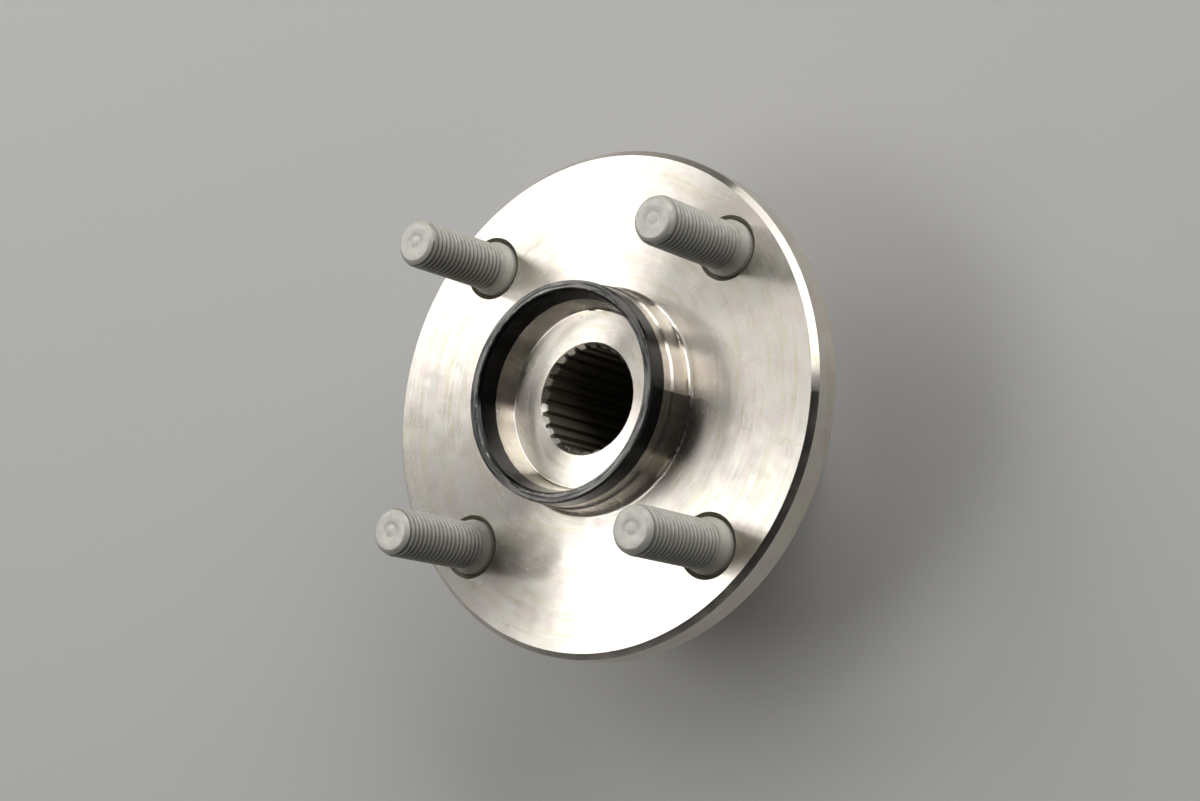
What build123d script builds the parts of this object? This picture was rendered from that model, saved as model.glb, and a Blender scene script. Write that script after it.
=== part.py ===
from build123d import *

import math
import os

# Driven wheel hub with its pressed-on double-row ball bearing, in millimetres.
# The origin is the centre of the face that the wheel bolts to. +Z is the wheel's axis and points
# outboard, towards the wheel. The bearing hangs below the flange, on the inboard side.

# ---- Flange and studs --------------------------------------------------------------------------
PITCH_CIRCLE_D = 100.0
STUD_COUNT = 4
FIRST_STUD_ANGLE = 45.0
FLANGE_MARGIN = 12.5  # from the stud circle out to the rim
FLANGE_THICKNESS = 8.9
RIM_BEVEL = 1.4
BACK_BEVEL = 0.6

STUD_THREAD_D = 12.0
STUD_REACH = 30.5  # from the wheel face to the stud's tip
STUD_TIP_BEVEL = 1.5
STUD_NECK_STEP = 0.2  # radial, under the thread
STUD_NECK_START = 2.0  # above the wheel face, where the cone under the thread ends
STUD_THREAD_START = 3.2
STUD_KNURL_D = 14.0
STUD_COLLAR_STEP = 0.2  # radial, under the knurl, so that the collar follows it through the hole
STUD_COLLAR_TOP = 0.4
STUD_HEAD_D = 17.6
STUD_HEAD_THICKNESS = 3.8
STUD_HEAD_BEVEL = 0.7
STUD_HOLE_COUNTERSINK = 1.0
STUD_HOLE_OVERRUN = 1.0  # how far the tool that cuts a stud's hole runs past the flange
KNURL_DEPTH = 2.2  # how far below the wheel face the knurl stops

# ---- Wheel and brake disc pilots -----------------------------------------------------------------
WHEEL_PILOT_D = 54.0
DISC_PILOT_D = 55.0
PILOT_HEIGHT = 15.0
DISC_PILOT_HEIGHT = 7.0
PILOT_LEAD_HEIGHT = 1.0
PILOT_LEAD = 0.3
PILOT_ROOT_FILLET = 1.2
PILOT_WALL = 2.7
CUP_LEAD = 0.7
CUP_DRAFT = 12.0  # degrees, the taper of the cup's wall
CUP_FILLET = 0.6
NUT_SEAT_HEIGHT = 3.6  # above the wheel face

# ---- Splined bore --------------------------------------------------------------------------------
SPLINE_TEETH = 26
SPLINE_MODULE = 1.0
SPLINE_TIP_DEPTH = 0.15  # in modules, from the pitch circle in to the teeth's tips
SPLINE_ROOT_DEPTH = 0.65  # in modules, from the pitch circle out to the roots
SPLINE_ANGLE = 30.0  # degrees, pressure angle of the flanks
SPLINE_LEAD_CLEARANCE = 0.25
SPLINE_LEAD_ANGLE = 55.0  # degrees, slope of the bevel on the teeth's ends
AXLE_BORE_CLEARANCE = 0.35  # radial, over the spline's roots
AXLE_BORE_LENGTH = 8.0

# ---- Bearing -------------------------------------------------------------------------------------
BEARING_BORE_D = 38.0
BEARING_D = 70.0
BEARING_WIDTH = 38.0
SHOULDER_STANDOFF = 4.3  # from the back of the flange to the bearing's face
SPIGOT_SETBACK = 0.8  # the spigot stops short of the inboard face, so the axle clamps the ring
SPIGOT_BEVEL = 1.0
SHOULDER_HEIGHT_UNDER = 0.5  # the hub's shoulder stays inside the inner ring's own shoulder
SHOULDER_FILLET = 0.8
HUB_CONE_SPREAD = 11.0
HUB_CONE_LAND = 1.6
HUB_CONE_FILLET = 5.5

RACE_WALL = 2.36  # the least steel behind each groove
ROW_GAP = 1.4  # the least room between the two rows of balls
CAGE_BAR_MIN = 1.9  # the least plastic between two balls on the pitch circle
CONTACT_ANGLE = 36.0
GROOVE_CONFORMITY = 0.52  # groove radius over ball diameter
BALL_CLEARANCE = 0.051
HIGH_SHOULDER_SHARE = 0.225  # shoulder height over ball diameter, on the loaded side of a groove
LOW_SHOULDER = 0.35
SEAL_STOP_STEP = 0.2
OUTER_CORNER = 1.5
INNER_CORNER = 1.2
RACE_EDGE = 0.3
EDGE_SHARE = 0.75  # the most of a ring's end face that one rounded or bevelled edge may take
CLIP_GROOVE_SHARE = 0.3  # of the inner ring's wall between its groove and its bore
CLIP_WIDTH = 4.4
CLIP_CLEARANCE = 0.1

CAGE_GAP_INSIDE = 1.3
CAGE_GAP_OUTSIDE = 0.9
CAGE_POCKET_CLEARANCE = 0.15
CAGE_BASE = 1.2  # behind the pockets
CAGE_CLAW_REACH = 3.4  # past the balls' centres
CAGE_SLOT_WIDTH = 1.0
CAGE_SLOT_DEPTH = 1.4

# ---- Seals ---------------------------------------------------------------------------------------
SEAL_SHEET = 0.6
SEAL_RECESS = 0.3  # from the rings' faces to the seal
SEAL_WIDTH = 5.1
SEAL_CAGE_GAP = 0.4
SLINGER_EDGE_GAP = 0.5
CASE_EDGE_SHARE = 0.35  # of the way from the slinger's sleeve to the case's wall
RUBBER_SKIN = 0.6
LIP_THICKNESS = 0.7
LIP_CLEARANCE = 0.1
BACK_LIP_REACH = 0.47  # share of the way from the rubber to the slinger
SIDE_LIP_SHARE = 0.43  # of the same way, to the root of the lip that faces the slinger sideways
SIDE_LIP_SPREAD = 1.4

# ---- Worked out ----------------------------------------------------------------------------------
pitch_circle_r = PITCH_CIRCLE_D / 2
flange_r = pitch_circle_r + FLANGE_MARGIN
flange_back = -FLANGE_THICKNESS
thread_r = STUD_THREAD_D / 2
neck_r = thread_r - STUD_NECK_STEP
knurl_r = STUD_KNURL_D / 2
collar_r = knurl_r - STUD_COLLAR_STEP
head_r = STUD_HEAD_D / 2

wheel_pilot_r = WHEEL_PILOT_D / 2
disc_pilot_r = DISC_PILOT_D / 2
pilot_step = disc_pilot_r - wheel_pilot_r
cup_lead_z = PILOT_HEIGHT - PILOT_LEAD_HEIGHT
cup_mouth_r = wheel_pilot_r - PILOT_WALL
cup_floor_r = cup_mouth_r - (cup_lead_z - NUT_SEAT_HEIGHT) * math.tan(math.radians(CUP_DRAFT))

spline_pitch_r = SPLINE_TEETH * SPLINE_MODULE / 2
spline_tip_r = spline_pitch_r - SPLINE_TIP_DEPTH * SPLINE_MODULE
spline_root_r = spline_pitch_r + SPLINE_ROOT_DEPTH * SPLINE_MODULE
spline_lead_r = spline_root_r + SPLINE_LEAD_CLEARANCE
spline_lead_depth = (spline_lead_r - spline_tip_r) * math.tan(math.radians(SPLINE_LEAD_ANGLE))
axle_bore_r = spline_root_r + AXLE_BORE_CLEARANCE

bearing_bore_r = BEARING_BORE_D / 2
bearing_r = BEARING_D / 2
half_width = BEARING_WIDTH / 2
bearing_face = flange_back - SHOULDER_STANDOFF
bearing_middle = bearing_face - half_width
spigot_end = bearing_face - BEARING_WIDTH + SPIGOT_SETBACK

contact_r = math.cos(math.radians(CONTACT_ANGLE))
contact_z = math.sin(math.radians(CONTACT_ANGLE))
seal_outside = half_width - SEAL_RECESS
seal_inside = seal_outside - SEAL_WIDTH
cage_end = seal_inside - SEAL_CAGE_GAP
# The balls are the largest that both the section's height and the width have room for.
section_room = (bearing_r - bearing_bore_r) / 2 - RACE_WALL - BALL_CLEARANCE * contact_r
groove_share = GROOVE_CONFORMITY - (GROOVE_CONFORMITY - 0.5) * contact_r
width_room = cage_end - CAGE_BASE - CAGE_POCKET_CLEARANCE - ROW_GAP / 2
ball_d = min(section_room / groove_share, width_room)
ball_r = ball_d / 2
pocket_r = ball_r + CAGE_POCKET_CLEARANCE
row_offset = cage_end - CAGE_BASE - pocket_r
pitch_r = (bearing_bore_r + bearing_r) / 2
balls_per_row = int(2 * math.pi * pitch_r / (ball_d + CAGE_BAR_MIN))
groove_r = GROOVE_CONFORMITY * ball_d
groove_shift = groove_r - ball_r - BALL_CLEARANCE
# The outer groove's contact lies towards the bearing's middle, the inner groove's away from it.
outer_groove = (pitch_r - groove_shift * contact_r, row_offset + groove_shift * contact_z)
inner_groove = (pitch_r + groove_shift * contact_r, row_offset - groove_shift * contact_z)
outer_bottom_r = outer_groove[0] + groove_r
inner_bottom_r = inner_groove[0] - groove_r
high_shoulder = HIGH_SHOULDER_SHARE * ball_d
rib_r = outer_bottom_r - high_shoulder
outer_land_r = outer_bottom_r - LOW_SHOULDER
inner_shoulder_r = inner_bottom_r + high_shoulder
inner_land_r = inner_bottom_r + LOW_SHOULDER
hub_shoulder_r = inner_shoulder_r - SHOULDER_HEIGHT_UNDER
clip_r = bearing_bore_r + CLIP_GROOVE_SHARE * (inner_land_r - bearing_bore_r)

seal_seat_r = outer_land_r + SEAL_STOP_STEP
sleeve_r = inner_shoulder_r + SEAL_SHEET
case_wall_r = seal_seat_r - SEAL_SHEET
case_edge_r = sleeve_r + CASE_EDGE_SHARE * (case_wall_r - sleeve_r)


def corner(profile, point):
    """The vertex of a profile that lies at a (radius, height) point."""
    return profile.vertices().sort_by_distance((*point, 0))[0]


def turned(outline, rounds=(), bevels=(), grooves=()):
    """A lathe-turned solid: a closed (radius, height) outline spun round the Z axis.

    rounds and bevels hold (point, size) pairs for the outline's corners, and grooves holds
    (centre, radius) pairs for the round channels cut into the section.
    """
    profile = make_face(Polyline(*outline, close=True))
    for point, size in rounds:
        profile = fillet(corner(profile, point), size)
    for point, size in bevels:
        profile = chamfer(corner(profile, point), size)
    for centre, radius in grooves:
        profile -= Pos(*centre) * Circle(radius)
    return revolve(Plane.XZ * profile, Axis.Z)


def spline_spaces():
    """The tooth spaces of the splined bore, straight-flanked and widest at the bore."""
    def half_space(radius):
        slope = math.tan(math.radians(SPLINE_ANGLE))
        return math.pi * SPLINE_MODULE / 4 - (radius - spline_pitch_r) * slope

    low, high = spline_tip_r - SPLINE_MODULE / 2, spline_root_r + SPLINE_MODULE / 4
    space = Polygon(
        (low, -half_space(low)), (high, -half_space(high)), (high, half_space(high)), (low, half_space(low)),
        align=None,
    )
    section = (Sketch() + [place * space for place in PolarLocations(0, SPLINE_TEETH)]) & Circle(spline_root_r)
    bottom = spigot_end + AXLE_BORE_LENGTH / 2
    return extrude(Pos(0, 0, bottom) * section, amount=NUT_SEAT_HEIGHT - bottom)


def stud_places():
    """Where each stud stands on the pitch circle."""
    return PolarLocations(pitch_circle_r, STUD_COUNT, start_angle=FIRST_STUD_ANGLE)


def make_hub():
    """The forged hub: spigot, flange, the two stepped pilots, the nut's cup and the splined bore."""
    rim_face = (flange_r, 0)
    rim_back = (flange_r, flange_back)
    pilot_foot = (disc_pilot_r, 0)
    cup_foot = (cup_floor_r, NUT_SEAT_HEIGHT)
    cone_foot = (hub_shoulder_r + HUB_CONE_SPREAD, flange_back)
    shoulder_root = (bearing_bore_r, bearing_face)
    spigot_edge = (bearing_bore_r, spigot_end)
    blank = turned(
        [
            (spline_tip_r, NUT_SEAT_HEIGHT - spline_lead_depth),
            (spline_lead_r, NUT_SEAT_HEIGHT),
            cup_foot,
            (cup_mouth_r, cup_lead_z),
            (cup_mouth_r + CUP_LEAD, PILOT_HEIGHT),
            (wheel_pilot_r - PILOT_LEAD, PILOT_HEIGHT),
            (wheel_pilot_r, cup_lead_z),
            (wheel_pilot_r, DISC_PILOT_HEIGHT),
            (disc_pilot_r, DISC_PILOT_HEIGHT - pilot_step),
            pilot_foot,
            rim_face,
            rim_back,
            cone_foot,
            (hub_shoulder_r, bearing_face + HUB_CONE_LAND),
            (hub_shoulder_r, bearing_face),
            shoulder_root,
            spigot_edge,
            (axle_bore_r, spigot_end),
            (axle_bore_r, spigot_end + AXLE_BORE_LENGTH),
            (spline_tip_r, spigot_end + AXLE_BORE_LENGTH),
        ],
        rounds=[
            (pilot_foot, PILOT_ROOT_FILLET),
            (cup_foot, CUP_FILLET),
            (shoulder_root, SHOULDER_FILLET),
            (cone_foot, HUB_CONE_FILLET),
        ],
        bevels=[(rim_face, RIM_BEVEL), (rim_back, BACK_BEVEL), (spigot_edge, SPIGOT_BEVEL)],
    )
    hole_bottom = flange_back - STUD_HOLE_OVERRUN
    hole_mouth_r = knurl_r + STUD_HOLE_COUNTERSINK
    hole = turned(
        [
            (0, hole_bottom),
            (knurl_r, hole_bottom),
            (knurl_r, -STUD_HOLE_COUNTERSINK),
            (hole_mouth_r, 0),
            (hole_mouth_r, STUD_HOLE_OVERRUN),
            (0, STUD_HOLE_OVERRUN),
        ]
    )
    return blank - spline_spaces() - [place * hole for place in stud_places()]


def make_stud():
    """A press-in wheel stud on the Z axis: round head, knurled shank, cone, neck and thread."""
    head_back = (head_r, flange_back - STUD_HEAD_THICKNESS)
    tip = (thread_r, STUD_REACH)
    return turned(
        [
            (0, flange_back - STUD_HEAD_THICKNESS),
            head_back,
            (head_r, flange_back),
            (knurl_r, flange_back),
            (knurl_r, -KNURL_DEPTH),
            (collar_r, -KNURL_DEPTH),
            (collar_r, STUD_COLLAR_TOP),
            (neck_r, STUD_NECK_START),
            (neck_r, STUD_THREAD_START),
            (thread_r, STUD_THREAD_START),
            tip,
            (0, STUD_REACH),
        ],
        bevels=[(head_back, STUD_HEAD_BEVEL), (tip, STUD_TIP_BEVEL)],
    )


def make_outer_ring():
    """The fixed outer ring, about the bearing's middle: two grooves and a seal seat at each end."""
    end_face = bearing_r - seal_seat_r - RACE_EDGE
    half = [(rib_r, 0), (rib_r, outer_groove[1]), (outer_land_r, outer_groove[1])]
    half += [(outer_land_r, seal_inside), (seal_seat_r, seal_inside), (seal_seat_r, half_width)]
    half += [(bearing_r, half_width), (bearing_r, 0)]
    ring = turned(
        half,
        rounds=[((bearing_r, half_width), min(OUTER_CORNER, EDGE_SHARE * end_face))],
        bevels=[((seal_seat_r, half_width), RACE_EDGE)],
        grooves=[(outer_groove, groove_r)],
    )
    return ring + mirror(ring, about=Plane.XY)


def make_inner_ring():
    """The outboard inner ring, about the bearing's middle: high shoulder outside, clip groove inside."""
    bore_face = (bearing_bore_r, half_width)
    shoulder_face = (inner_shoulder_r, half_width)
    land_edge = min(RACE_EDGE, EDGE_SHARE * (inner_land_r - clip_r))
    return turned(
        [
            (clip_r, 0),
            (clip_r, CLIP_WIDTH / 2),
            (bearing_bore_r, CLIP_WIDTH / 2),
            bore_face,
            shoulder_face,
            (inner_shoulder_r, inner_groove[1]),
            (inner_land_r, inner_groove[1]),
            (inner_land_r, 0),
        ],
        bevels=[(bore_face, INNER_CORNER), (shoulder_face, RACE_EDGE), ((inner_land_r, 0), land_edge)],
        grooves=[(inner_groove, groove_r)],
    )


def make_clip():
    """The thin ring that joins the two inner rings, in the groove that they share."""
    inside = bearing_bore_r + CLIP_CLEARANCE
    end = CLIP_WIDTH / 2
    return turned([(inside, -end), (clip_r, -end), (clip_r, end), (inside, end)])


def ball_places():
    """Where the balls of the outboard row sit, about the bearing's middle, each on the axis it rolls about."""
    roll = Rot(0, CONTACT_ANGLE, 0)
    return [Pos(0, 0, row_offset) * place * roll for place in PolarLocations(pitch_r, balls_per_row)]


def make_cage():
    """The outboard crown cage: a base ring behind the balls, with claws that snap past their centres."""
    inside, outside = inner_shoulder_r + CAGE_GAP_INSIDE, rib_r - CAGE_GAP_OUTSIDE
    claw_end = row_offset - CAGE_CLAW_REACH
    body = turned([(inside, claw_end), (outside, claw_end), (outside, cage_end), (inside, cage_end)])
    pockets = [place * Sphere(pocket_r) for place in ball_places()]
    slot = Box(2 * (outside - inside), CAGE_SLOT_WIDTH, 2 * CAGE_SLOT_DEPTH)
    half_pitch = 180 / balls_per_row
    slots = [
        Pos(0, 0, claw_end) * place * slot
        for place in PolarLocations(pitch_r, balls_per_row, start_angle=half_pitch)
    ]
    return body - pockets - slots


def make_slinger():
    """The outboard seal's turning half: a steel angle ring pressed on the inner ring's shoulder."""
    edge_r = case_wall_r - SLINGER_EDGE_GAP
    return turned(
        [
            (inner_shoulder_r, seal_inside + SEAL_SHEET),
            (sleeve_r, seal_inside + SEAL_SHEET),
            (sleeve_r, seal_outside - SEAL_SHEET),
            (edge_r, seal_outside - SEAL_SHEET),
            (edge_r, seal_outside),
            (inner_shoulder_r, seal_outside),
        ]
    )


def make_seal_case():
    """The outboard seal's fixed half: a steel angle ring pressed into the outer ring's seat."""
    return turned(
        [
            (case_edge_r, seal_inside),
            (seal_seat_r, seal_inside),
            (seal_seat_r, seal_outside),
            (case_wall_r, seal_outside),
            (case_wall_r, seal_inside + SEAL_SHEET),
            (case_edge_r, seal_inside + SEAL_SHEET),
        ]
    )


def make_seal_lip():
    """The outboard seal's rubber: a skin on the case, two lips round the sleeve and one side lip."""
    skin_z = seal_inside + SEAL_SHEET
    root_r = case_edge_r - RUBBER_SKIN
    tip_r = sleeve_r + LIP_CLEARANCE
    top_z = skin_z + RUBBER_SKIN
    side_r = sleeve_r + SIDE_LIP_SHARE * (case_wall_r - sleeve_r)
    side_tip = seal_outside - SEAL_SHEET - LIP_CLEARANCE
    back_tip = top_z + BACK_LIP_REACH * (side_tip - top_z)
    return turned(
        [
            (tip_r, skin_z - SEAL_SHEET),
            (tip_r + LIP_THICKNESS, skin_z - SEAL_SHEET),
            (root_r, skin_z - SEAL_SHEET / 2),
            (root_r, seal_inside),
            (case_edge_r, seal_inside),
            (case_edge_r, skin_z),
            (case_wall_r, skin_z),
            (case_wall_r, top_z),
            (side_r + LIP_THICKNESS, top_z),
            (side_r + LIP_THICKNESS + SIDE_LIP_SPREAD, side_tip),
            (side_r + SIDE_LIP_SPREAD, side_tip),
            (side_r, top_z),
            (root_r, top_z),
            (tip_r + LIP_THICKNESS / 2, back_tip),
            (tip_r, back_tip),
            (tip_r, back_tip - LIP_THICKNESS),
            (root_r - LIP_THICKNESS / 2, skin_z),
        ]
    )


def write(name, shape):
    """Writes one piece to parts/ under its node's name."""
    export_step(shape, os.path.join("parts", f"{name}.step"))


def main():
    os.makedirs("parts", exist_ok=True)
    write("hub_flange", make_hub())
    stud = make_stud()
    for number, place in enumerate(stud_places(), 1):
        write(f"wheel_stud_{number}", place * stud)

    middle = Pos(0, 0, bearing_middle)
    write("bearing_outer_ring", middle * make_outer_ring())
    write("inner_ring_clip", middle * make_clip())

    # Everything else in the bearing is made once, for the outboard side, and mirrored inboard.
    pieces = {
        "inner_ring": make_inner_ring(),
        "ball_cage": make_cage(),
        "seal_slinger": make_slinger(),
        "seal_case": make_seal_case(),
        "seal_lip": make_seal_lip(),
    }
    for number, place in enumerate(ball_places(), 1):
        pieces[f"ball_{number:02d}"] = place * Sphere(ball_r)
    for name, piece in pieces.items():
        write(f"outboard_{name}", middle * piece)
        write(f"inboard_{name}", middle * mirror(piece, about=Plane.XY))


main()
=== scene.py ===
"""Driven wheel hub with its double-row ball bearing: the finished look of every piece.

The frame is the wheel's axis, +Z outboard, with its origin in the face that the wheel bolts to.
"""

import logging
import math
from collections.abc import Callable, Iterator, Sequence
from contextlib import contextmanager
from dataclasses import dataclass
from enum import Enum
from typing import Any, Optional

import bpy
from mathutils import Matrix, Vector


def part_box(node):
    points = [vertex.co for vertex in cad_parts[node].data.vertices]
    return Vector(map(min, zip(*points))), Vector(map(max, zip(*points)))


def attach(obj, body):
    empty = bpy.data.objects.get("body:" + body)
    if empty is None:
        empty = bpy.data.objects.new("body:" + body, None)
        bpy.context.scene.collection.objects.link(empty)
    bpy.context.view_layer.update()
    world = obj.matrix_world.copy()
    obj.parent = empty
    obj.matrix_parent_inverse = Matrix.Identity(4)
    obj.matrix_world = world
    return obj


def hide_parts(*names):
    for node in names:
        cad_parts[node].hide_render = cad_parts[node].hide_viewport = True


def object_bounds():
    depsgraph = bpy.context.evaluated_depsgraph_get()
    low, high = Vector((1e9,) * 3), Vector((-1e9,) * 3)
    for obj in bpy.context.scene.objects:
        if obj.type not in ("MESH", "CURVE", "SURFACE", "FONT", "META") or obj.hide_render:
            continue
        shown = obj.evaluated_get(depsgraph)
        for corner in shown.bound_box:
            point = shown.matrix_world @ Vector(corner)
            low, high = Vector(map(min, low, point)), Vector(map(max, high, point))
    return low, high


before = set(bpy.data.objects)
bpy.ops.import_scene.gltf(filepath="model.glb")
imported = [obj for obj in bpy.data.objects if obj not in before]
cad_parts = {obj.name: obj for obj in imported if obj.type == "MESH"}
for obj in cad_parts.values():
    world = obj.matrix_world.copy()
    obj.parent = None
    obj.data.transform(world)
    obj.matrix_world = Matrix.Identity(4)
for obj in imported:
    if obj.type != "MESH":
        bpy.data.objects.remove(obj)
CAD_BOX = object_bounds()

MM = 0.001
log = logging.getLogger("wheel_hub")

Point = tuple[float, float]
Direction = tuple[float, float, float]
Colour = tuple[float, float, float, float]
Tree = bpy.types.NodeTree
Node = bpy.types.Node
Socket = bpy.types.NodeSocket
Piece = bpy.types.Object
Material = bpy.types.Material

# Options of the shader nodes that the materials share.
PLUS, MINUS = {"operation": "ADD"}, {"operation": "SUBTRACT"}
TIMES, LARGER = {"operation": "MULTIPLY"}, {"operation": "MAXIMUM"}
ABSOLUTE = {"operation": "ABSOLUTE"}
LENGTH, UNIT, SCALED = {"operation": "LENGTH"}, {"operation": "NORMALIZE"}, {"operation": "SCALE"}
SMOOTH = {"interpolation_type": "SMOOTHSTEP", "clamp": True}
COLOURS, NUMBERS = {"data_type": "RGBA"}, {"data_type": "FLOAT"}
ROUND_Z = {"direction_type": "RADIAL", "axis": "Z"}
FLAT = (1.0, 1.0, 0.0)


# ---- Small tools ---------------------------------------------------------------------------------
def linear(hex_colour: str) -> Colour:
    """Turns an sRGB hex colour into the linear RGBA that shaders read.

    Args:
        hex_colour: six hex digits.

    Returns:
        Linear red, green, blue and an alpha of 1.
    """
    def channel(start: int) -> float:
        """The linear value of the two digits from start."""
        value = int(hex_colour[start:start + 2], 16) / 255
        return value / 12.92 if value <= 0.04045 else ((value + 0.055) / 1.055) ** 2.4

    return channel(0), channel(2), channel(4), 1.0


def grain(size: float) -> float:
    """The Noise scale whose spots are about size millimetres across."""
    return 1 / (size * MM)


def fill(tree: Tree, socket: Socket, value: Any) -> None:
    """Feeds an input socket.

    Args:
        tree: the node tree that it is in.
        socket: the input.
        value: an output socket to link to it, or the plain value that it gets.
    """
    if isinstance(value, bpy.types.NodeSocket):
        tree.links.new(value, socket)
    else:
        socket.default_value = value


def add(tree: Tree, kind: str, settings: Optional[dict[str, Any]] = None, *values: Any,
        **named: Any) -> Socket:
    """Adds one shader node with its settings and links.

    Args:
        tree: the node tree that gets it.
        kind: the node's type, without its "ShaderNode" prefix.
        settings: the node's own options.
        *values: a value or an output socket for each input that the options leave in use, in order.
        **named: the same by the input's name, with underscores for spaces.

    Returns:
        The node's first output in use.
    """
    node = tree.nodes.new("ShaderNode" + kind)
    for name, value in (settings or {}).items():
        setattr(node, name, value)
    for socket, value in zip([socket for socket in node.inputs if socket.enabled], values):
        fill(tree, socket, value)
    for name, value in named.items():
        fill(tree, node.inputs[name.replace("_", " ")], value)
    return next(socket for socket in node.outputs if socket.enabled)


@dataclass(frozen=True)
class Surface:
    """The start of a material: its tree, its shader and where a point lies on the piece."""

    material: Material
    tree: Tree
    shader: Node
    place: Socket

    @classmethod
    def new(cls, name: str) -> "Surface":
        """Makes an empty material with a Principled shader and Object coordinates.

        Args:
            name: what the real material is and how its surface was made.

        Returns:
            The start of the material.
        """
        material = bpy.data.materials.new(name)
        material.use_nodes = True
        tree = material.node_tree
        place = add(tree, "TexCoord").node.outputs["Object"]
        return cls(material, tree, tree.nodes["Principled BSDF"], place)

    def put(self, **inputs: Any) -> None:
        """Sets the shader's inputs.

        Args:
            **inputs: a value or an output socket by the input's name, with underscores for spaces.
        """
        for name, value in inputs.items():
            fill(self.tree, self.shader.inputs[name.replace("_", " ")], value)

    def radius(self) -> Socket:
        """The distance from the wheel's axis, in metres."""
        return add(self.tree, "VectorMath", LENGTH, add(self.tree, "VectorMath", TIMES, self.place, FLAT))

    def height(self) -> Socket:
        """The height along the wheel's axis, in metres."""
        return add(self.tree, "SeparateXYZ", None, self.place).node.outputs["Z"]

    def rings(self, spacing: float, detail: float = 2.0, run: Optional[float] = None) -> Socket:
        """Marks about the wheel's axis, as a cutting tool or a wiping cloth leaves them.

        Args:
            spacing: from one mark to the next, in millimetres.
            detail: how many finer octaves lie on them.
            run: how long a mark stays the same, in radians round the axis, or None for full circles.

        Returns:
            The noise value, about 0 to 1.
        """
        t = self.tree
        if run:
            facing = add(t, "VectorMath", UNIT, add(t, "VectorMath", TIMES, self.place, FLAT))
            turn = add(t, "VectorMath", SCALED, facing, spacing * MM / run)
            across = add(t, "CombineXYZ", Z=add(t, "Math", PLUS, self.radius(), self.height()))
            place = add(t, "VectorMath", PLUS, turn, across)
        else:
            place = add(t, "CombineXYZ", None, self.radius(), self.height())
        return add(t, "TexNoise", None, place, grain(spacing), detail, 0.6)


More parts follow.
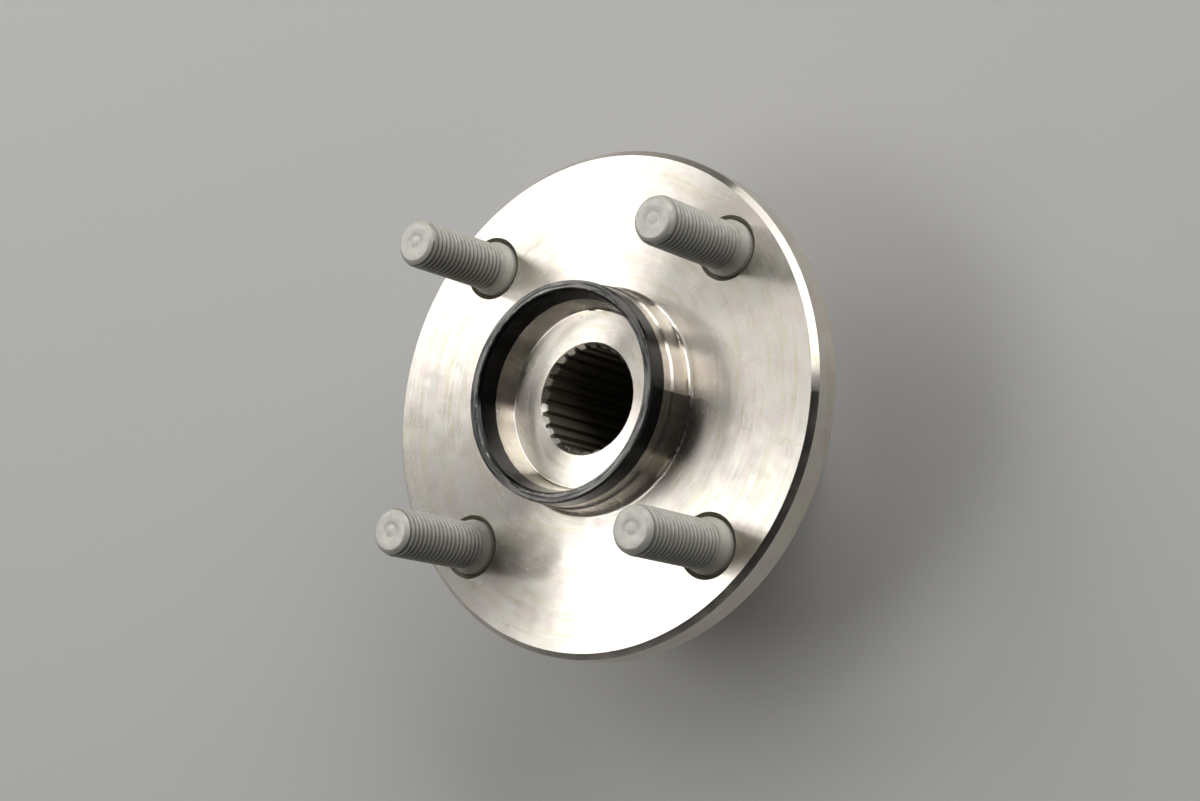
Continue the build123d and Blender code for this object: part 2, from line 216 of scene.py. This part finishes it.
# ---- Finishes ------------------------------------------------------------------------------------
@dataclass(frozen=True)
class TurnedForging:
    """Bright lathe-turned steel, with black enamel on the nose of the pilot. Sizes in millimetres."""

    steel: str = "E2DDD3"
    rosy: str = "DDD0CA"
    straw: str = "D2C9A6"
    dull_steel: str = "6E6959"
    enamel: str = "050506"
    worn_enamel: str = "A5A39E"
    paint_outside: float = 9.7
    paint_inside: float = 9.3
    paint_edge: float = 0.07
    nose: Point = (25.0, 26.7)
    nose_wear: Point = (0.35, 0.12)
    nose_face: Point = (14.5, 14.95)
    bore_r: float = 13.95
    bore_dull: Point = (2.7, 1.4)
    hole_place: float = 50.0 * math.sqrt(0.5)
    hole_r: float = 8.02
    gloss: Point = (0.22, 0.26)
    gloss_change: Point = (-0.02, 0.03)
    dull_gloss: float = 0.5
    enamel_gloss: float = 0.18
    feed: float = 0.8
    relief_feed: float = 0.5
    relief: float = 0.0012
    chip_depth: float = 0.04

    def unturned(self, s: Surface) -> Socket:
        """Finds where the steel is dull: down the splined bore and in the stud holes' countersinks.

        Args:
            s: the surface.

        Returns:
            1 where it is dull and oily, 0 where it is turned bright.
        """
        t = s.tree
        in_radius = add(t, "MapRange", SMOOTH, s.radius(), (self.bore_r + 0.02) * MM,
                        (self.bore_r - 0.1) * MM)
        below = add(t, "MapRange", SMOOTH, s.height(), self.bore_dull[0] * MM, self.bore_dull[1] * MM)
        corner = (self.hole_place * MM, self.hole_place * MM, 0)
        from_hole = add(t, "VectorMath", MINUS, add(t, "VectorMath", ABSOLUTE, s.place), corner)
        distance = add(t, "VectorMath", LENGTH, add(t, "VectorMath", TIMES, from_hole, FLAT))
        in_hole = add(t, "MapRange", SMOOTH, distance, self.hole_r * MM, (self.hole_r - 0.04) * MM)
        sunk = add(t, "MapRange", SMOOTH, s.height(), -0.02 * MM, -0.08 * MM)
        bore, holes = add(t, "Math", TIMES, in_radius, below), add(t, "Math", TIMES, in_hole, sunk)
        return add(t, "Math", LARGER, bore, holes)

    def steel_colour(self, s: Surface, dull: Socket) -> Socket:
        """Colours the steel: bright, with faint rosy clouds and straw stains wiped round in arcs.

        Args:
            s: the surface.
            dull: 1 where the steel is dull.

        Returns:
            The colour.
        """
        t = s.tree
        cloud = add(t, "TexNoise", None, s.place, grain(8.0), 5.0, 0.6)
        spot = add(t, "TexNoise", None, s.place, grain(2.6), 3.0, 0.6)
        wiped = add(t, "MapRange", SMOOTH, s.rings(1.6, 4.0, run=0.35), 0.45, 0.75, 0.0, 0.45)
        clouds = add(t, "MapRange", SMOOTH, cloud, 0.42, 0.66, 0.0, 0.75)
        spots = add(t, "MapRange", SMOOTH, spot, 0.60, 0.70, 0.0, 0.35)
        rosy = add(t, "Mix", COLOURS, clouds, linear(self.steel), linear(self.rosy))
        stained = add(t, "Mix", COLOURS, add(t, "Math", PLUS, wiped, spots), rosy, linear(self.straw))
        return add(t, "Mix", COLOURS, dull, stained, linear(self.dull_steel))

    def paint(self, s: Surface) -> Socket:
        """Finds where the enamel lies: it stops at a brushed, slightly uneven line on each side.

        Args:
            s: the surface.

        Returns:
            1 on the enamel, 0 on bare steel.
        """
        t = s.tree
        middle, edge = sum(self.nose) / 2, self.paint_edge
        waver = add(t, "Math", MINUS, add(t, "TexNoise", None, s.place, grain(2.4), 3.0, 0.55), 0.5)
        inside = add(t, "MapRange", SMOOTH, s.radius(), (middle + 0.1) * MM, (middle - 0.1) * MM)
        drop = add(t, "Math", TIMES, inside, (self.paint_outside - self.paint_inside) * MM)
        level = add(t, "Math", PLUS, add(t, "Math", PLUS, s.height(), drop),
                    add(t, "Math", TIMES, waver, 0.7 * MM))
        return add(t, "MapRange", SMOOTH, level, (self.paint_outside - edge) * MM,
                   (self.paint_outside + edge) * MM)

    def wear(self, s: Surface) -> Socket:
        """Finds where the enamel is rubbed thin: along the nose's two edges and in arcs round its face.

        Args:
            s: the surface.

        Returns:
            1 where it is rubbed through, 0 where it is whole.
        """
        t = s.tree
        face = add(t, "MapRange", SMOOTH, s.height(), self.nose_face[0] * MM, self.nose_face[1] * MM)
        scuffs = add(t, "MapRange", SMOOTH, s.rings(0.45, 3.0, run=0.3), 0.38, 0.62, 0.0, 0.55)
        chip = add(t, "TexNoise", None, s.place, grain(1.8), 4.0, 0.7)
        edges = []
        for edge, width in zip(self.nose, self.nose_wear):
            from_edge = add(t, "Math", ABSOLUTE, add(t, "Math", MINUS, s.radius(), edge * MM))
            edges.append(add(t, "MapRange", SMOOTH, from_edge, width * MM, 0.03 * MM))
        near_edge = add(t, "Math", TIMES, add(t, "Math", LARGER, *edges),
                        add(t, "MapRange", SMOOTH, chip, 0.45, 0.62))
        on_face = add(t, "Math", TIMES, add(t, "Math", LARGER, scuffs, near_edge), face)
        elsewhere = add(t, "MapRange", SMOOTH, s.rings(0.5, 2.0, run=0.2), 0.66, 0.74, 0.0, 0.12)
        return add(t, "Math", LARGER, on_face, elsewhere)

    def roughness(self, s: Surface, dull: Socket, painted: Socket, worn: Socket) -> Socket:
        """Gives the gloss of the turned steel, the dull steel and the enamel.

        Args:
            s: the surface.
            dull: 1 where the steel is dull.
            painted: 1 on the enamel.
            worn: 1 where the enamel is rubbed through.

        Returns:
            The roughness.
        """
        t = s.tree
        # The tool's feed is nearer 0.2 mm, too fine to show in a render, so its marks are drawn as
        # coarse as they need to show: by self.feed in the gloss and self.relief_feed in the relief.
        cut = add(t, "MapRange", SMOOTH, s.rings(self.feed, 3.0), 0.3, 0.7, *self.gloss)
        patch = add(t, "TexNoise", None, s.place, grain(5.0), 2.0, 0.5)
        change = add(t, "MapRange", SMOOTH, patch, 0.35, 0.7, *self.gloss_change)
        steel = add(t, "Mix", NUMBERS, dull, add(t, "Math", PLUS, cut, change), self.dull_gloss)
        enamel = add(t, "Math", PLUS, add(t, "Math", TIMES, worn, 0.1), self.enamel_gloss)
        return add(t, "Mix", NUMBERS, painted, steel, enamel)

    def metallic(self, s: Surface, dull: Socket, painted: Socket, worn: Socket) -> Socket:
        """Tells the steel, which also shows through worn enamel, from the enamel and the oily film.

        Args:
            s: the surface.
            dull: 1 where the steel is dull.
            painted: 1 on the enamel.
            worn: 1 where the enamel is rubbed through.

        Returns:
            The metallic share.
        """
        t = s.tree
        oily = add(t, "Math", MINUS, 1.0, add(t, "Math", TIMES, dull, 0.6))
        bare = add(t, "Math", TIMES, add(t, "Math", MINUS, 1.0, painted), oily)
        rubbed = add(t, "Math", TIMES, worn, add(t, "Math", TIMES, painted, 0.9))
        return add(t, "Math", LARGER, bare, rubbed)

    def material(self) -> Material:
        """Makes the material: tool marks run in circles, so highlights fan out from the axis.

        Returns:
            The material.
        """
        s = Surface.new("turned_forging_and_enamel")
        t = s.tree
        dull, painted, worn = self.unturned(s), self.paint(s), self.wear(s)
        enamel = add(t, "Mix", COLOURS, worn, linear(self.enamel), linear(self.worn_enamel))
        marks = add(t, "Bump", Height=s.rings(self.relief_feed, 2.0), Distance=self.relief * MM)
        chips = add(t, "Bump", Height=add(t, "Math", TIMES, worn, painted), Distance=-self.chip_depth * MM,
                    Normal=marks)
        s.put(Base_Color=add(t, "Mix", COLOURS, painted, self.steel_colour(s, dull), enamel),
              Metallic=self.metallic(s, dull, painted, worn),
              Roughness=self.roughness(s, dull, painted, worn), Normal=chips,
              Anisotropic=1.0, Anisotropic_Rotation=0.25, Tangent=add(t, "Tangent", ROUND_Z))
        return s.material


@dataclass(frozen=True)
class ZincFlake:
    """Baked zinc-flake coating: a matt, warm light grey that fills in thread roots a little, with painted
    shade darkening the roots.
    """

    coat: str = "D6D4CA"
    # A dark grey that serves both as random mottle in the coat and as painted shade in the thread roots.
    root_shade_and_mottle: str = "5C5A51"
    root_shade_share: float = 0.92
    mottle_share: float = 0.12
    metal_share: float = 0.35
    roughness: Point = (0.52, 0.62)

    def material(self) -> Material:
        """Makes the material, with painted shade darker down in the thread by the piece's own root_depth
        attribute.

        Returns:
            The material.
        """
        s = Surface.new("zinc_flake_coating")
        t = s.tree
        depth = add(t, "Attribute", {"attribute_name": "root_depth"}).node.outputs["Fac"]
        patch = add(t, "TexNoise", None, s.place, grain(1.6), 4.0, 0.6)
        mottle = add(t, "MapRange", SMOOTH, patch, 0.3, 0.7)
        coat = add(t, "Mix", COLOURS, add(t, "Math", TIMES, mottle, self.mottle_share), linear(self.coat),
                   linear(self.root_shade_and_mottle))
        # Painted shade: the deeper in the thread a point lies, the darker it is painted, standing in for the
        # shadow in the roots.
        root_shade = add(t, "Math", TIMES, depth, self.root_shade_share)
        colour = add(t, "Mix", COLOURS, root_shade, coat, linear(self.root_shade_and_mottle))
        # The flakes are about 0.02 mm across, too fine to show, so the grain is drawn 0.4 mm coarse.
        flakes = add(t, "TexNoise", None, s.place, grain(0.4), 2.0, 0.55)
        s.put(Base_Color=colour, Metallic=self.metal_share,
              Normal=add(t, "Bump", Height=flakes, Distance=0.006 * MM),
              Roughness=add(t, "MapRange", SMOOTH, mottle, 0.0, 1.0, *self.roughness))
        return s.material


@dataclass(frozen=True)
class RoundSteel:
    """Steel finished in the round: ground, polished or pressed, told apart by its marks."""

    name: str
    steel: str
    dark: str
    marks: float
    mark_depth: float
    roughness: Point
    anisotropy: float

    def material(self) -> Material:
        """Makes the material: marks in circles about the axis and a slow change of tone.

        Returns:
            The material.
        """
        s = Surface.new(self.name)
        t = s.tree
        fine, slow = s.rings(self.marks, 2.0), add(t, "TexNoise", None, s.place, grain(7.0), 3.0, 0.55)
        tone = add(t, "Math", PLUS, add(t, "MapRange", SMOOTH, slow, 0.35, 0.7, 0.0, 0.15),
                   add(t, "Math", TIMES, fine, 0.2))
        s.put(Base_Color=add(t, "Mix", COLOURS, tone, linear(self.steel), linear(self.dark)), Metallic=1.0,
              Roughness=add(t, "MapRange", SMOOTH, fine, 0.2, 0.8, *self.roughness),
              Normal=add(t, "Bump", Height=fine, Distance=self.mark_depth * MM),
              Anisotropic=self.anisotropy, Anisotropic_Rotation=0.25, Tangent=add(t, "Tangent", ROUND_Z))
        return s.material


@dataclass(frozen=True)
class Moulded:
    """Moulded polyamide or rubber: one tone with fine grain and a little bloom."""

    name: str
    colour: str
    bloom: str
    grain_size: float
    roughness: Point

    def material(self) -> Material:
        """Makes the material.

        Returns:
            The material.
        """
        s = Surface.new(self.name)
        t = s.tree
        cloud = add(t, "TexNoise", None, s.place, grain(4.0), 4.0, 0.55)
        fine = add(t, "TexNoise", None, s.place, grain(self.grain_size), 2.0, 0.55)
        share = add(t, "MapRange", SMOOTH, cloud, 0.35, 0.75, 0.0, 0.5)
        s.put(Base_Color=add(t, "Mix", COLOURS, share, linear(self.colour), linear(self.bloom)),
              Roughness=add(t, "MapRange", SMOOTH, fine, 0.2, 0.8, *self.roughness),
              Normal=add(t, "Bump", Height=fine, Distance=0.01 * MM))
        return s.material


class Finish(Enum):
    """The finishes of the hub's pieces, by what they are."""

    # Bare turned steel throws long, bright fans of light that sweep round the axis between dark
    # ones, and the brushed enamel gives its nose one near-black ring with rubbed silver edges.
    FORGING = TurnedForging()
    # Zinc flake is a dull, even, pale grey beside the bright flange, with painted shade darkening its thread
    # roots.
    STUD = ZincFlake()
    # Ground steel is a clean, satin cylinder: one soft streak of light along it.
    GROUND = RoundSteel("ground_bearing_steel", "C9C7C2", "A09E99", 0.5, 0.0006, (0.16, 0.26), 0.6)
    # Lapped balls are small mirrors, each with a sharp point of light.
    BALL = RoundSteel("polished_bearing_balls", "D4D3D0", "BDBBB7", 1.5, 0.0001, (0.05, 0.09), 0.0)
    # Pressed sheet is duller than ground steel, with a broader streak.
    SHEET = RoundSteel("pressed_sheet_steel", "B8B6AF", "8F8C84", 0.8, 0.0012, (0.24, 0.36), 0.5)
    # Natural polyamide is a creamy, faintly uneven satin, the one warm colour inside.
    CAGE = Moulded("moulded_polyamide", "D6CBA8", "BCAF88", 0.4, (0.42, 0.55))
    # Nitrile rubber is a matt black with a slight grey bloom.
    RUBBER = Moulded("moulded_rubber", "17171A", "2A2A2C", 0.3, (0.45, 0.62))

    def material(self) -> Material:
        """Gives the finish's material, made the first time that it is asked for.

        Returns:
            The material.
        """
        if self.name not in _made:
            _made[self.name] = self.value.material()
        return _made[self.name]


_made: dict[str, Material] = {}


def dress(piece: Piece, finish: Finish) -> None:
    """Gives a piece one finish all over, through its slots.

    Args:
        piece: the piece, whose mesh stays as it is.
        finish: its finish.
    """
    if not piece.material_slots:
        piece.data.materials.append(None)
    for slot in piece.material_slots:
        slot.link = "OBJECT"
        slot.material = finish.material()


# ---- Modelling -----------------------------------------------------------------------------------
def alone(piece: Piece) -> None:
    """Selects one piece and makes it active.

    Args:
        piece: the piece.
    """
    bpy.ops.object.select_all(action="DESELECT")
    piece.select_set(True)
    bpy.context.view_layer.objects.active = piece


@contextmanager
def editing(piece: Piece) -> Iterator[None]:
    """Opens a piece in edit mode with nothing selected, and closes it again.

    Args:
        piece: the piece.

    Yields:
        Nothing: the piece is open meanwhile.
    """
    alone(piece)
    bpy.ops.object.mode_set(mode="EDIT")
    bpy.ops.mesh.select_all(action="DESELECT")
    try:
        yield
    finally:
        bpy.ops.object.mode_set(mode="OBJECT")


def pick(piece: Piece, wanted: Callable[[Vector], bool]) -> None:
    """Selects, in edit mode, the vertices that lie where wanted says.

    Args:
        piece: the piece, open in edit mode.
        wanted: tells whether a vertex's place is meant.
    """
    bpy.ops.mesh.select_mode(type="VERT")
    bpy.ops.object.mode_set(mode="OBJECT")
    for vertex in piece.data.vertices:
        vertex.select = wanted(vertex.co)
    bpy.ops.object.mode_set(mode="EDIT")


def outline(name: str, points: Sequence[Point]) -> Piece:
    """Draws an open chain of edges in the X-Z plane.

    Args:
        name: the new piece's name.
        points: (radius, height) pairs, in millimetres.

    Returns:
        The piece, whose mesh holds the chain.
    """
    bpy.ops.object.select_all(action="DESELECT")
    bpy.ops.mesh.primitive_plane_add(size=MM)
    piece = bpy.context.object
    piece.name = name
    with editing(piece):
        bpy.ops.mesh.select_all(action="SELECT")
        bpy.ops.mesh.merge(type="CENTER")
        place = (0.0, 0.0)
        for number, (radius, height) in enumerate(points):
            step = ((radius - place[0]) * MM, 0.0, (height - place[1]) * MM)
            if number:
                bpy.ops.mesh.extrude_region_move(TRANSFORM_OT_translate={"value": step})
            else:
                bpy.ops.transform.translate(value=step)
            place = (radius, height)
    return piece


def turned(name: str, points: Sequence[Point], steps: int) -> Piece:
    """Turns a closed body about the Z axis from an outline that starts and ends on it.

    Args:
        name: the new piece's name.
        points: (radius, height) pairs, in millimetres.
        steps: how many steps go round.

    Returns:
        The body, with its normals outwards.
    """
    piece = outline(name, points)
    with editing(piece):
        bpy.ops.mesh.select_all(action="SELECT")
        bpy.ops.mesh.spin(steps=steps, angle=2 * math.pi, center=(0, 0, 0), axis=(0, 0, 1))
        bpy.ops.mesh.select_all(action="SELECT")
        bpy.ops.mesh.remove_doubles(threshold=0.002 * MM)
        bpy.ops.mesh.normals_make_consistent(inside=False)
    return piece


def finish_with(piece: Piece, kind: str, **settings: Any) -> None:
    """Adds one modifier and applies it.

    Args:
        piece: the piece.
        kind: the modifier's type.
        **settings: its options.
    """
    alone(piece)
    modifier = piece.modifiers.new(kind.lower(), kind)
    for name, value in settings.items():
        setattr(modifier, name, value)
    bpy.ops.object.modifier_apply(modifier=modifier.name)


def combine(piece: Piece, tool: Piece, operation: str) -> None:
    """Joins or trims a piece by a tool body, and removes the tool.

    Args:
        piece: the piece that is kept.
        tool: the tool body.
        operation: UNION or INTERSECT.
    """
    finish_with(piece, "BOOLEAN", operation=operation, object=tool, solver="EXACT")
    bpy.data.objects.remove(tool)


# ---- Sub-assemblies ------------------------------------------------------------------------------
@dataclass
class WheelStuds:
    """The four press-in studs: rolled thread, cone, collar, knurl and round head, in millimetres."""

    nodes: tuple[str, ...] = ("wheel_stud_1", "wheel_stud_2", "wheel_stud_3", "wheel_stud_4")
    pitch: float = 1.5
    crest_r: float = 5.95
    root_r: float = 5.2
    thread_start: float = 3.2
    tip_face_r: float = 4.55
    tip_shoulder_r: float = 5.55
    neck_r: float = 5.75
    neck_start: float = 2.0
    collar_top: float = 0.4
    collar_r: float = 6.8
    knurl_top: float = -2.2
    knurl_r: float = 7.0
    knurl_depth: float = 0.22
    head_thickness: float = 3.8
    steps: int = 72
    sharp_over: float = 40.0
    first_turn: float = 40.0
    next_turn: float = 97.0

    @property
    def back(self) -> float:
        """How low the head reaches."""
        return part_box(self.nodes[0])[0].z / MM

    @property
    def tip(self) -> float:
        """How high the tip stands."""
        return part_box(self.nodes[0])[1].z / MM

    @property
    def head_r(self) -> float:
        """The head's radius."""
        low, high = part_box(self.nodes[0])
        return (high.x - low.x) / 2 / MM

    def thread(self) -> Piece:
        """Winds a rod with a right-hand thread, cut square at both ends.

        Returns:
            The rod.
        """
        turns = math.ceil((self.tip - self.thread_start) / self.pitch) + 4
        depth = self.crest_r - self.root_r
        shape = ((0.0, 0.0), (0.08, 0.04), (0.38, 0.88), (0.45, 1.0), (0.55, 1.0), (0.62, 0.88), (0.92, 0.04),
                 (1.0, 0.0))
        start = self.thread_start - 2 * self.pitch
        points = [(self.root_r + depth * rise, start + share * self.pitch) for share, rise in shape]
        rod = outline("stud_thread", points)
        finish_with(rod, "SCREW", angle=2 * math.pi, screw_offset=self.pitch * MM, iterations=turns,
                    steps=self.steps, render_steps=self.steps, axis="Z")
        with editing(rod):
            bpy.ops.mesh.select_all(action="SELECT")
            bpy.ops.mesh.remove_doubles(threshold=0.005 * MM)
            for height, keeps_above in ((self.thread_start - 0.3, True), (self.tip + 0.5, False)):
                bpy.ops.mesh.select_all(action="SELECT")
                bpy.ops.mesh.bisect(plane_co=(0, 0, height * MM), plane_no=(0, 0, 1), use_fill=True,
                                    clear_inner=keeps_above, clear_outer=not keeps_above)
            bpy.ops.mesh.select_all(action="SELECT")
            bpy.ops.mesh.normals_make_consistent(inside=False)
        return rod

    def envelope(self) -> Piece:
        """Turns the body that trims the thread: its tip's cone, cold-formed ring and centre mark.

        Returns:
            The body.
        """
        over, top, bottom = self.crest_r + 0.6, self.tip, self.thread_start - 0.2
        shoulder = top - (self.tip_shoulder_r - self.tip_face_r)
        return turned("stud_envelope", [
            (0.0, bottom), (self.neck_r, bottom), (over, bottom + over - self.neck_r),
            (over, shoulder - 3 * (over - self.tip_shoulder_r)), (self.tip_shoulder_r, shoulder),
            (self.tip_face_r + 0.1, top - 0.06), (self.tip_face_r - 0.1, top), (2.2, top), (2.0, top - 0.1),
            (1.6, top - 0.2), (1.2, top - 0.16), (0.95, top - 0.04), (0.0, top),
        ], self.steps)

    def foot(self) -> Piece:
        """Turns everything below the thread and presses the knurl's grooves into the shank.

        Returns:
            The body.
        """
        back, edge, head_top = self.back, self.head_r, self.back + self.head_thickness
        body = turned("stud_foot", [
            (0.0, back + 0.25), (5.2, back + 0.1), (6.6, back), (edge - 0.7, back),
            (edge - 0.2, back + 0.2), (edge, back + 0.7), (edge, head_top - 0.15),
            (edge - 0.15, head_top), (self.knurl_r, head_top),
            (self.knurl_r, self.knurl_top - 0.3), (self.collar_r, self.knurl_top),
            (self.collar_r, self.collar_top - 0.1), (self.collar_r - 0.08, self.collar_top),
            (self.neck_r + 0.1, self.neck_start - 0.1), (self.neck_r, self.neck_start + 0.15),
            (self.neck_r, self.thread_start), (0.0, self.thread_start),
        ], 2 * self.steps)
        tooth = 2 * math.pi / self.steps

        def in_groove(place: Vector) -> bool:
            """Tells whether a vertex is on the shank, between two teeth.

            Args:
                place: the vertex's place.

            Returns:
                True for a vertex that is pressed in.
            """
            on_shank = abs(place.xy.length - self.knurl_r * MM) < 0.01 * MM
            teeth = math.atan2(place.y, place.x) / tooth
            return on_shank and abs(teeth - round(teeth)) > 0.25

        with editing(body):
            pick(body, in_groove)
            share = 1 - self.knurl_depth / self.knurl_r
            bpy.ops.transform.resize(value=(share, share, 1), center_override=(0, 0, 0))
        return body

    def model(self) -> Piece:
        """Models one stud on the Z axis, with how deep in the thread each point lies as an attribute.

        Returns:
            The stud.
        """
        stud = self.thread()
        combine(stud, self.envelope(), "INTERSECT")
        combine(stud, self.foot(), "UNION")
        alone(stud)
        bpy.ops.object.shade_smooth_by_angle(angle=math.radians(self.sharp_over))
        # The zinc-flake material paints shade into the thread roots by this depth.
        depths = stud.data.attributes.new("root_depth", "FLOAT", "POINT")
        bottom, top = self.thread_start * MM, (self.tip - 1) * MM
        for vertex, depth in zip(stud.data.vertices, depths.data):
            threaded = bottom < vertex.co.z < top
            low = (self.crest_r * MM - vertex.co.xy.length) / ((self.crest_r - self.root_r) * MM)
            depth.value = min(max(low, 0.0), 1.0) if threaded else 0.0
        return stud

    def build(self) -> list[Piece]:
        """Models one stud and sets a copy of it in each hole, each turned its own way.

        Returns:
            The four studs.
        """
        first = self.model()
        studs = []
        for number, node in enumerate(self.nodes):
            low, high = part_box(node)
            alone(first)
            bpy.ops.object.duplicate(linked=False)
            stud = bpy.context.object
            stud.name = stud.data.name = f"threaded_{node}"
            stud.location = ((low.x + high.x) / 2, (low.y + high.y) / 2, 0)
            stud.rotation_euler = (0, 0, math.radians(self.first_turn + self.next_turn * number))
            bpy.ops.object.transform_apply(location=True, rotation=True, scale=True)
            dress(stud, Finish.STUD)
            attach(stud, "hub")
            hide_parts(node)
            studs.append(stud)
        bpy.data.objects.remove(first)
        return studs


@dataclass
class Hub:
    """The hub forging, which keeps its CAD shape."""

    node: str = "hub_flange"

    def build(self) -> list[Piece]:
        """Dresses the forging.

        Returns:
            The forging.
        """
        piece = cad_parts[self.node]
        dress(piece, Finish.FORGING)
        return [piece]


@dataclass
class Bearing:
    """The double-row bearing and its seals, which keep their CAD shapes."""

    others: tuple[str, ...] = ("hub_", "wheel_stud_")
    finishes: tuple[tuple[str, Finish], ...] = (
        ("_ring", Finish.GROUND), ("_clip", Finish.SHEET), ("_cage", Finish.CAGE), ("_slinger", Finish.SHEET),
        ("_case", Finish.SHEET), ("_lip", Finish.RUBBER),
    )

    def build(self) -> list[Piece]:
        """Dresses each piece of the bearing by the end of its name, and the rest as balls.

        Returns:
            The pieces.
        """
        dressed = []
        for name, piece in sorted(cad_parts.items()):
            if not name.startswith(self.others):
                found = [finish for ending, finish in self.finishes if name.endswith(ending)]
                dress(piece, found[0] if found else Finish.BALL)
                dressed.append(piece)
        return dressed


# ---- Studio --------------------------------------------------------------------------------------
@dataclass(frozen=True)
class Softbox:
    """A lamp panel, by where it stands from the hub, its width and height and its face's brightness.

    The angles are in degrees and the lengths in metres.
    """

    name: str
    azimuth: float
    elevation: float
    distance: float
    width: float
    height: float
    radiance: float

    def build(self) -> Piece:
        """Hangs the panel facing the hub, out of the camera's sight.

        Returns:
            The panel.
        """
        azimuth, elevation = math.radians(self.azimuth), math.radians(self.elevation)
        towards = Vector((math.cos(azimuth) * math.cos(elevation), math.sin(azimuth) * math.cos(elevation),
                          math.sin(elevation)))
        lamp = bpy.data.lights.new(self.name, "AREA")
        lamp.shape, lamp.size, lamp.size_y = "RECTANGLE", self.width, self.height
        lamp.energy = self.radiance * math.pi * self.width * self.height
        panel = bpy.data.objects.new(self.name, lamp)
        panel.location = towards * self.distance
        panel.rotation_mode = "QUATERNION"
        panel.rotation_quaternion = towards.to_track_quat("Z", "Y")
        panel.visible_camera = False
        bpy.context.scene.collection.objects.link(panel)
        return panel


@dataclass
class Studio:
    """The floor, the lamps, the surroundings and the camera, whose place is in millimetres."""

    floor_side: float = 12.0
    floor_colour: str = "C9C8C5"
    floor_roughness: float = 0.85
    surroundings: str = "1C1B1A"
    camera_place: Direction = (361.53, -96.76, 478.64)
    camera_back: Direction = (0.59353, -0.15962, 0.78883)
    camera_up: Direction = (0.03801, 0.98460, 0.17063)
    lens: float = 75.33
    sensor: float = 36.0
    sight: Point = (0.01, 100.0)
    lamps: tuple[Softbox, ...] = (
        Softbox("left_panel", 146.5, 36, 1.3, 0.78, 0.76, 2.5),
        Softbox("high_panel", 196, 62.5, 1.3, 0.62, 0.53, 2.8),
        Softbox("wide_panel", 56, 30, 1.3, 1.7, 0.65, 3.2),
        Softbox("top_panel", 100, 65, 1.3, 0.8, 0.8, 0.8),
        Softbox("soft_panel", 196, 62.5, 1.35, 1.24, 1.06, 0.28),
    )

    def lay_floor(self) -> None:
        """Lays the floor that the bearing stands on."""
        bpy.ops.object.select_all(action="DESELECT")
        bpy.ops.mesh.primitive_plane_add(size=self.floor_side, location=(0, 0, CAD_BOX[0].z))
        floor = bpy.context.object
        floor.name = "floor"
        bpy.ops.object.transform_apply(location=True)
        s = Surface.new("plain_floor")
        s.put(Base_Color=linear(self.floor_colour), Roughness=self.floor_roughness)
        floor.data.materials.append(s.material)

    def light(self) -> None:
        """Hangs the lamps in dim surroundings."""
        for lamp in self.lamps:
            lamp.build()
        world = bpy.data.worlds.new("studio")
        bpy.context.scene.world = world
        world.use_nodes = True
        world.node_tree.nodes["Background"].inputs["Color"].default_value = linear(self.surroundings)

    def place_camera(self) -> None:
        """Sets the camera up by its place and the directions behind and above it."""
        back = Vector(self.camera_back).normalized()
        right = Vector(self.camera_up).cross(back).normalized()
        lens = bpy.data.cameras.new("camera")
        lens.lens, lens.sensor_width = self.lens, self.sensor
        lens.clip_start, lens.clip_end = self.sight
        camera = bpy.data.objects.new("camera", lens)
        turn = Matrix((right, back.cross(right), back)).transposed().to_4x4()
        camera.matrix_world = Matrix.Translation(Vector(self.camera_place) * MM) @ turn
        bpy.context.scene.collection.objects.link(camera)
        bpy.context.scene.camera = camera

    def build(self) -> None:
        """Builds the whole studio."""
        self.lay_floor()
        self.light()
        self.place_camera()
        bpy.context.scene.view_settings.view_transform = "Standard"


def main() -> None:
    """Builds the studio and every sub-assembly in order."""
    logging.basicConfig(level=logging.INFO, format="%(message)s")
    Studio().build()
    for assembly in (Hub(), WheelStuds(), Bearing()):
        for piece in assembly.build():
            log.info("%s: %s, %d faces", type(assembly).__name__, piece.name, len(piece.data.polygons))


if __name__ == "__main__":
    main()
